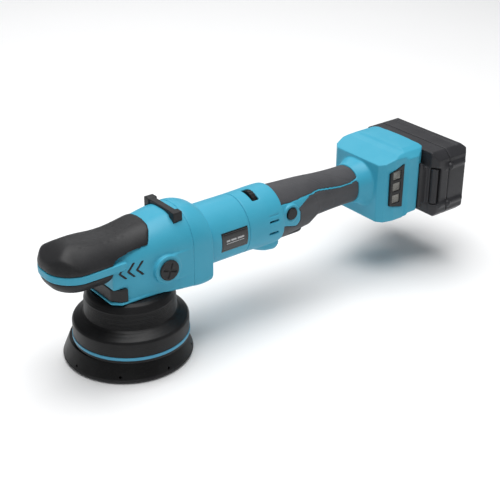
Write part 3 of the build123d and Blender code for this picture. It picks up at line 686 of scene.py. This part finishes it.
@dataclass
class SoftParts:
    """Overmoulded rubbers and small mouldings, rounded as their moulds round them."""

    dimple_rows: int = 4
    dimples: int = 9
    dimple_pitch: float = 0.0072
    dimple_radius: float = 0.0017
    dimple_depth: float = 0.00055
    dimple_setback: float = 0.012
    dimple_floor: float = 0.012
    plan: list[tuple[str, str, str, float, int]] = field(default_factory=lambda: [
        ("palm_grip", "housing", "black_rubber", 0.0009, 24),
        ("nose_lower_grip", "housing", "black_rubber", 0.0008, 5),
        ("front_pad", "housing", "black_rubber", 0.0007, 4),
        ("bumper", "housing", "black_rubber", 0.0006, 6),
        ("upper_grip_rubber", "housing", "grip_rubber", 0.0007, 5),
        ("lower_grip_rubber", "housing", "grip_rubber", 0.0007, 5),
        ("socket_plugs", "housing", "black_plastic", 0.0004, 2),
        ("trigger", "trigger", "black_plastic", 0.0006, 5),
        ("lock_button", "lock_button", "black_plastic", 0.0004, 4),
        ("release_button", "release_button", "pack_plastic", 0.0005, 3),
        ("pack_upper_case", "battery", "pack_plastic", 0.0009, 8),
        ("pack_lower_case", "battery", "pack_plastic", 0.0009, 8),
        ("head_cover", "housing", "teal_plastic", 0.0007, 4),
        ("motor_housing", "housing", "teal_plastic", 0.0007, 4),
        ("handle_shell_left handle_shell_right", "housing", "teal_plastic", 0.0007, 4),
        ("chevron_inlays", "housing", "black_plastic", 0.0003, 1),
    ])
    band: float = 0.0075
    nose_half: float = 0.030
    dome: float = 20.0
    dome_centre: float = -0.060
    dome_blend: tuple[float, float] = (-0.038, -0.068)
    belly: float = 52.0
    inlay_lift: float = 0.00045
    button_slack: float = 0.0003

    def build(self, paint: Paintbox) -> list[bpy.types.Object]:
        """Rounds each part and presses the dimples into the palm grip.

        Args:
            paint: the finishes.

        Returns:
            The new pieces.
        """
        made = []
        for names, body, slot, voxel, rounds in self.plan:
            nodes = tuple(names.split())
            node = nodes[0]
            piece = soften(f"{node}_soft", nodes, voxel, rounds)
            if node in ("palm_grip", "head_cover"):
                self.round_nose(piece, 1.0, self.dome)
            if node == "palm_grip":
                self.press_dimples(piece)
            if node == "chevron_inlays":
                self.swell(piece, self.inlay_lift)
            if node == "release_button":
                self.swell(piece, -self.button_slack)
            if node == "nose_lower_grip":
                self.round_nose(piece, -1.0, self.belly)
            paint.dress(piece, slot)
            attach(piece, body)
            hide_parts(*nodes)
            made.append(piece)
        return made

    def swell(self, piece: bpy.types.Object, amount: float) -> None:
        """Moves a piece's surface along its normals.

        Args:
            piece: the piece.
            amount: distance in metres, outward, or inward where it is below zero.
        """
        moves = [v.normal * amount for v in piece.data.vertices]
        for vertex, move in zip(piece.data.vertices, moves):
            vertex.co += move

    def round_nose(self, grip: bpy.types.Object, side: float, amount: float) -> None:
        """Domes the nose: draws its plan in with the square of the distance from the stripe.

        Args:
            grip: the rubber to shape.
            side: 1 above the stripe, -1 below it.
            amount: how far the plan is drawn in, per metre of distance squared.
        """
        rubber_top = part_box("nose_lower_grip")[1].z
        start = rubber_top + self.band if side > 0 else rubber_top
        near, far = self.dome_blend
        for vertex in grip.data.vertices:
            rise = max((vertex.co.z - start) * side, 0.0)
            weight = min(max((vertex.co.x - near) / (far - near), 0.0), 1.0) if side > 0 else 1.0
            weight = weight * weight * (3 - 2 * weight)
            shrink = 1.0 - weight * amount * rise * rise / self.nose_half
            vertex.co.x = self.dome_centre + (vertex.co.x - self.dome_centre) * shrink
            vertex.co.y *= shrink

    def press_dimples(self, grip: bpy.types.Object) -> None:
        """Sinks staggered rows of dimples into the top of the palm grip, where the hand lies.

        Args:
            grip: the palm grip.
        """
        low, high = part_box("palm_grip")
        start = high.x - self.dimple_setback
        centres = []
        for row in range(self.dimple_rows):
            side = (row - (self.dimple_rows - 1) / 2) * self.dimple_pitch * 1.35
            for k in range(self.dimples - row % 2):
                centres.append((start - (k + 0.5 * (row % 2)) * self.dimple_pitch, side))
        mesh = grip.data
        mesh.update()
        normals = [v.normal.copy() for v in mesh.vertices]
        for vertex, normal in zip(mesh.vertices, normals):
            if normal.z < 0.2 or vertex.co.z < low.z + self.dimple_floor:
                continue
            near = min((vertex.co.x - x) ** 2 + (vertex.co.y - y) ** 2 for x, y in centres)
            reach = near / self.dimple_radius ** 2
            if reach < 1.0:
                vertex.co -= normal * self.dimple_depth * (1.0 - reach) ** 1.5


@dataclass
class Label:
    """Plain emblem printed on the black plate of the barrel: a border, three bars and a rule."""

    border: float = 0.0011
    line: float = 0.0005
    lift: float = 0.00012
    bar_half: float = 0.0009
    rule_half: float = 0.00035
    columns: int = 6
    rows: int = 5
    bars: tuple[tuple[float, float, float], ...] = (
        (0.56, 0.16, 0.30), (0.56, 0.34, 0.54), (0.56, 0.58, 0.84), (0.42, 0.16, 0.84))

    def strip(
        self, name: str, x: tuple[float, float], z: tuple[float, float], axis_z: float, radius: float
    ) -> bpy.types.Object:
        """A thin curved strip on the barrel's left side.

        Args:
            name: name of the piece.
            x: its front and rear end.
            z: its lower and upper edge.
            axis_z: height of the barrel's axis.
            radius: radius that it lies on.

        Returns:
            The piece.
        """
        shape = bmesh.new()
        columns, rows = self.columns, self.rows
        grid = []
        for i in range(columns + 1):
            along = x[0] + (x[1] - x[0]) * i / columns
            line = []
            for j in range(rows + 1):
                up = z[0] + (z[1] - z[0]) * j / rows
                line.append(shape.verts.new((along, -math.sqrt(radius ** 2 - (up - axis_z) ** 2), up)))
            grid.append(line)
        for i in range(columns):
            for j in range(rows):
                shape.faces.new((grid[i][j], grid[i + 1][j], grid[i + 1][j + 1], grid[i][j + 1]))
        piece = shape_piece(name, shape)
        shell = piece.modifiers.new("thick", "SOLIDIFY")
        shell.thickness = self.lift
        shell.offset = 0.0
        apply_modifiers(piece)
        return piece

    def build(self, paint: Paintbox) -> list[bpy.types.Object]:
        """Prints the border and the bars.

        Args:
            paint: the finishes.

        Returns:
            The new pieces.
        """
        low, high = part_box("label_plate")
        rotor_low, rotor_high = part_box("rotor_core")
        axis_z = (rotor_low.z + rotor_high.z) / 2
        radius = -low.y + self.lift * 0.6
        wide, tall = high.x - low.x, high.z - low.z
        b, line = self.border, self.line
        made = []
        edges = {
            "label_border_top": ((low.x + b, high.x - b), (high.z - b - line, high.z - b)),
            "label_border_bottom": ((low.x + b, high.x - b), (low.z + b, low.z + b + line)),
            "label_border_front": ((low.x + b, low.x + b + line), (low.z + b, high.z - b)),
            "label_border_back": ((high.x - b - line, high.x - b), (low.z + b, high.z - b)),
        }
        for place, (share, start, stop) in enumerate(self.bars):
            middle = low.z + tall * share
            half = self.rule_half if place == len(self.bars) - 1 else self.bar_half
            reach = (low.x + wide * start, low.x + wide * stop)
            edges[f"label_bar_{place}"] = (reach, (middle - half, middle + half))
        for name, (xs, zs) in edges.items():
            piece = self.strip(name, xs, zs, axis_z, radius)
            paint.dress(piece, "print_dark" if "border" in name else "print_grey")
            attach(piece, "housing")
            made.append(piece)
        return made


@dataclass
class PackRails:
    """Guide rails moulded on both ends of the pack, each with a blunt front end."""

    radius: float = 0.0040
    stand: float = 0.0025
    rails: tuple[tuple[float, float, float], ...] = ((0.776, 0.31, 0.84), (0.211, 0.20, 0.84))
    steps: int = 24
    bends: int = 12
    knob: float = 1.08
    tip: float = 0.02

    def rail(self, name: str, start: Vector, end: Vector) -> bpy.types.Object:
        """A round bar with domed ends along X.

        Args:
            name: name of the piece.
            start: centre of its front end.
            end: centre of its rear end.

        Returns:
            The piece, without a finish.
        """
        shape = bmesh.new()
        rings = []
        for k in range(self.bends + 1):
            bend = math.pi * k / self.bends
            in_front = k <= self.bends // 2
            centre, swell = (start, self.knob) if in_front else (end, 1.0)
            along, width = -math.cos(bend) * self.radius, max(math.sin(bend), self.tip) * self.radius
            rings.append([
                shape.verts.new((
                    centre.x + along,
                    centre.y + width * swell * math.cos(2 * math.pi * j / self.steps),
                    centre.z + width * swell * math.sin(2 * math.pi * j / self.steps),
                ))
                for j in range(self.steps)
            ])
        for here, ahead in zip(rings, rings[1:]):
            for j in range(self.steps):
                following = (j + 1) % self.steps
                shape.faces.new((here[j], here[following], ahead[following], ahead[j]))
        shape.faces.new(rings[0])
        shape.faces.new(rings[-1])
        bmesh.ops.recalc_face_normals(shape, faces=shape.faces)
        return shape_piece(name, shape)

    def build(self, paint: Paintbox) -> list[bpy.types.Object]:
        """Adds the rails to both ends of the pack.

        Args:
            paint: the finishes.

        Returns:
            The new pieces.
        """
        low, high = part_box("pack_upper_case")
        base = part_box("pack_lower_case")[0]
        long, tall = high.x - base.x, high.z - base.z
        made = []
        for side, word in ((-1, "near"), (1, "far")):
            wall = low.y if side < 0 else high.y
            y = wall - side * (self.radius - self.stand)
            for place, (share, start, stop) in enumerate(self.rails):
                z = base.z + tall * share
                piece = self.rail(
                    f"pack_rail_{word}_{place}",
                    Vector((base.x + long * start, y, z)),
                    Vector((base.x + long * stop, y, z)),
                )
                paint.dress(piece, "pack_plastic")
                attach(piece, "battery")
                made.append(piece)
        return made


@dataclass
class Carried:
    """CAD nodes that keep their own shape and get the finish of their slot."""

    painted: dict[str, str] = field(default_factory=lambda: {"bearing_plate": "black_plastic"})

    def build(self, paint: Paintbox) -> list[bpy.types.Object]:
        """Dresses every CAD node by the record.

        Args:
            paint: the finishes.

        Returns:
            The dressed nodes.
        """
        dressed = []
        for row in frame["record"]["subparts"]:
            node = frame["nodes"][row["node"]]
            paint.dress(node, self.painted.get(row["node"], row["material_slot"]))
            dressed.append(node)
        return dressed


@dataclass
class Studio:
    """Pale floor, soft lights and the camera."""

    eye: tuple[float, float, float] = (-0.48315, -0.79517, 0.59212)
    back: tuple[float, float, float] = (-0.54895, -0.69684, 0.46160)
    roll: float = math.radians(-0.31)
    lens: float = 81.6
    floor_half: float = 6.0

    def build_floor(self) -> None:
        """A wide pale floor under the backing plate."""
        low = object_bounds()[0]
        mesh = bpy.data.meshes.new("floor")
        half, z = self.floor_half, low[2]
        corners = [(-half, -half, z), (half, -half, z), (half, half, z), (-half, half, z)]
        mesh.from_pydata(corners, [], [(0, 1, 2, 3)])
        floor = bpy.data.objects.new("floor", mesh)
        bpy.context.scene.collection.objects.link(floor)
        shader = Shader("pale_floor")
        cloud = shader.cloud(shader.place(), 3.0, 2.0)
        tone = shader.blend(cloud, (0.93, 0.93, 0.93, 1.0), (0.96, 0.96, 0.96, 1.0))
        shader.surface_set({"Base Color": tone, "Roughness": 0.9, "Specular IOR Level": 0.1})
        mesh.materials.append(shader.material)
        floor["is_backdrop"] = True

    def light(
        self, name: str, place: tuple[float, float, float], size: tuple[float, float], power: float
    ) -> None:
        """A rectangular soft light aimed at the middle of the tool.

        Args:
            name: name of the light.
            place: its place in metres.
            size: its width and height in metres.
            power: its power in watts.
        """
        data = bpy.data.lights.new(name, "AREA")
        data.shape, data.size, data.size_y, data.energy = "RECTANGLE", size[0], size[1], power
        lamp = bpy.data.objects.new(name, data)
        low, high = (Vector(corner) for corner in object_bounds())
        lamp.location = place
        lamp.rotation_euler = ((low + high) / 2 - lamp.location).to_track_quat("-Z", "Y").to_euler()
        bpy.context.scene.collection.objects.link(lamp)

    def build(self) -> None:
        """Sets up the floor, the lights, the pale surroundings and the camera."""
        self.build_floor()
        self.light("key", (0.05, 0.05, 2.0), (2.0, 1.6), 50.0)
        self.light("fill", (-0.9, -1.5, 0.8), (0.9, 0.9), 0.7)
        self.light("rim", (0.9, 1.3, 1.0), (1.2, 0.6), 2.5)
        world = bpy.data.worlds.new("pale_room")
        world.use_nodes = True
        world.node_tree.nodes["Background"].inputs["Color"].default_value = (0.95, 0.97, 1.0, 1.0)
        world.node_tree.nodes["Background"].inputs["Strength"].default_value = 0.20
        scene = bpy.context.scene
        scene.world = world
        scene.view_settings.view_transform = "Standard"
        camera = bpy.data.objects.new("camera", bpy.data.cameras.new("camera"))
        camera.data.lens = self.lens
        back = Vector(self.back).normalized()
        right = Vector((0, 0, 1)).cross(back).normalized()
        up = back.cross(right)
        side = right * math.cos(self.roll) - up * math.sin(self.roll)
        top = right * math.sin(self.roll) + up * math.cos(self.roll)
        turn = Matrix((side, top, back)).transposed().to_4x4()
        camera.matrix_world = Matrix.Translation(self.eye) @ turn
        scene.collection.objects.link(camera)
        scene.camera = camera


def main() -> None:
    """Builds the sub-assemblies in order and reports each piece."""
    logging.basicConfig(level=logging.INFO, format="%(name)s %(message)s")
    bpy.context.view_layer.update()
    paint = Paintbox()
    Studio().build()
    for part in (Carried(), Shroud(), SoftParts(), PackRails(), Label()):
        for piece in part.build(paint):
            LOG.info("%s %s: %d faces", type(part).__name__, piece.name, len(piece.data.polygons))


if __name__ == "__main__":
    main()
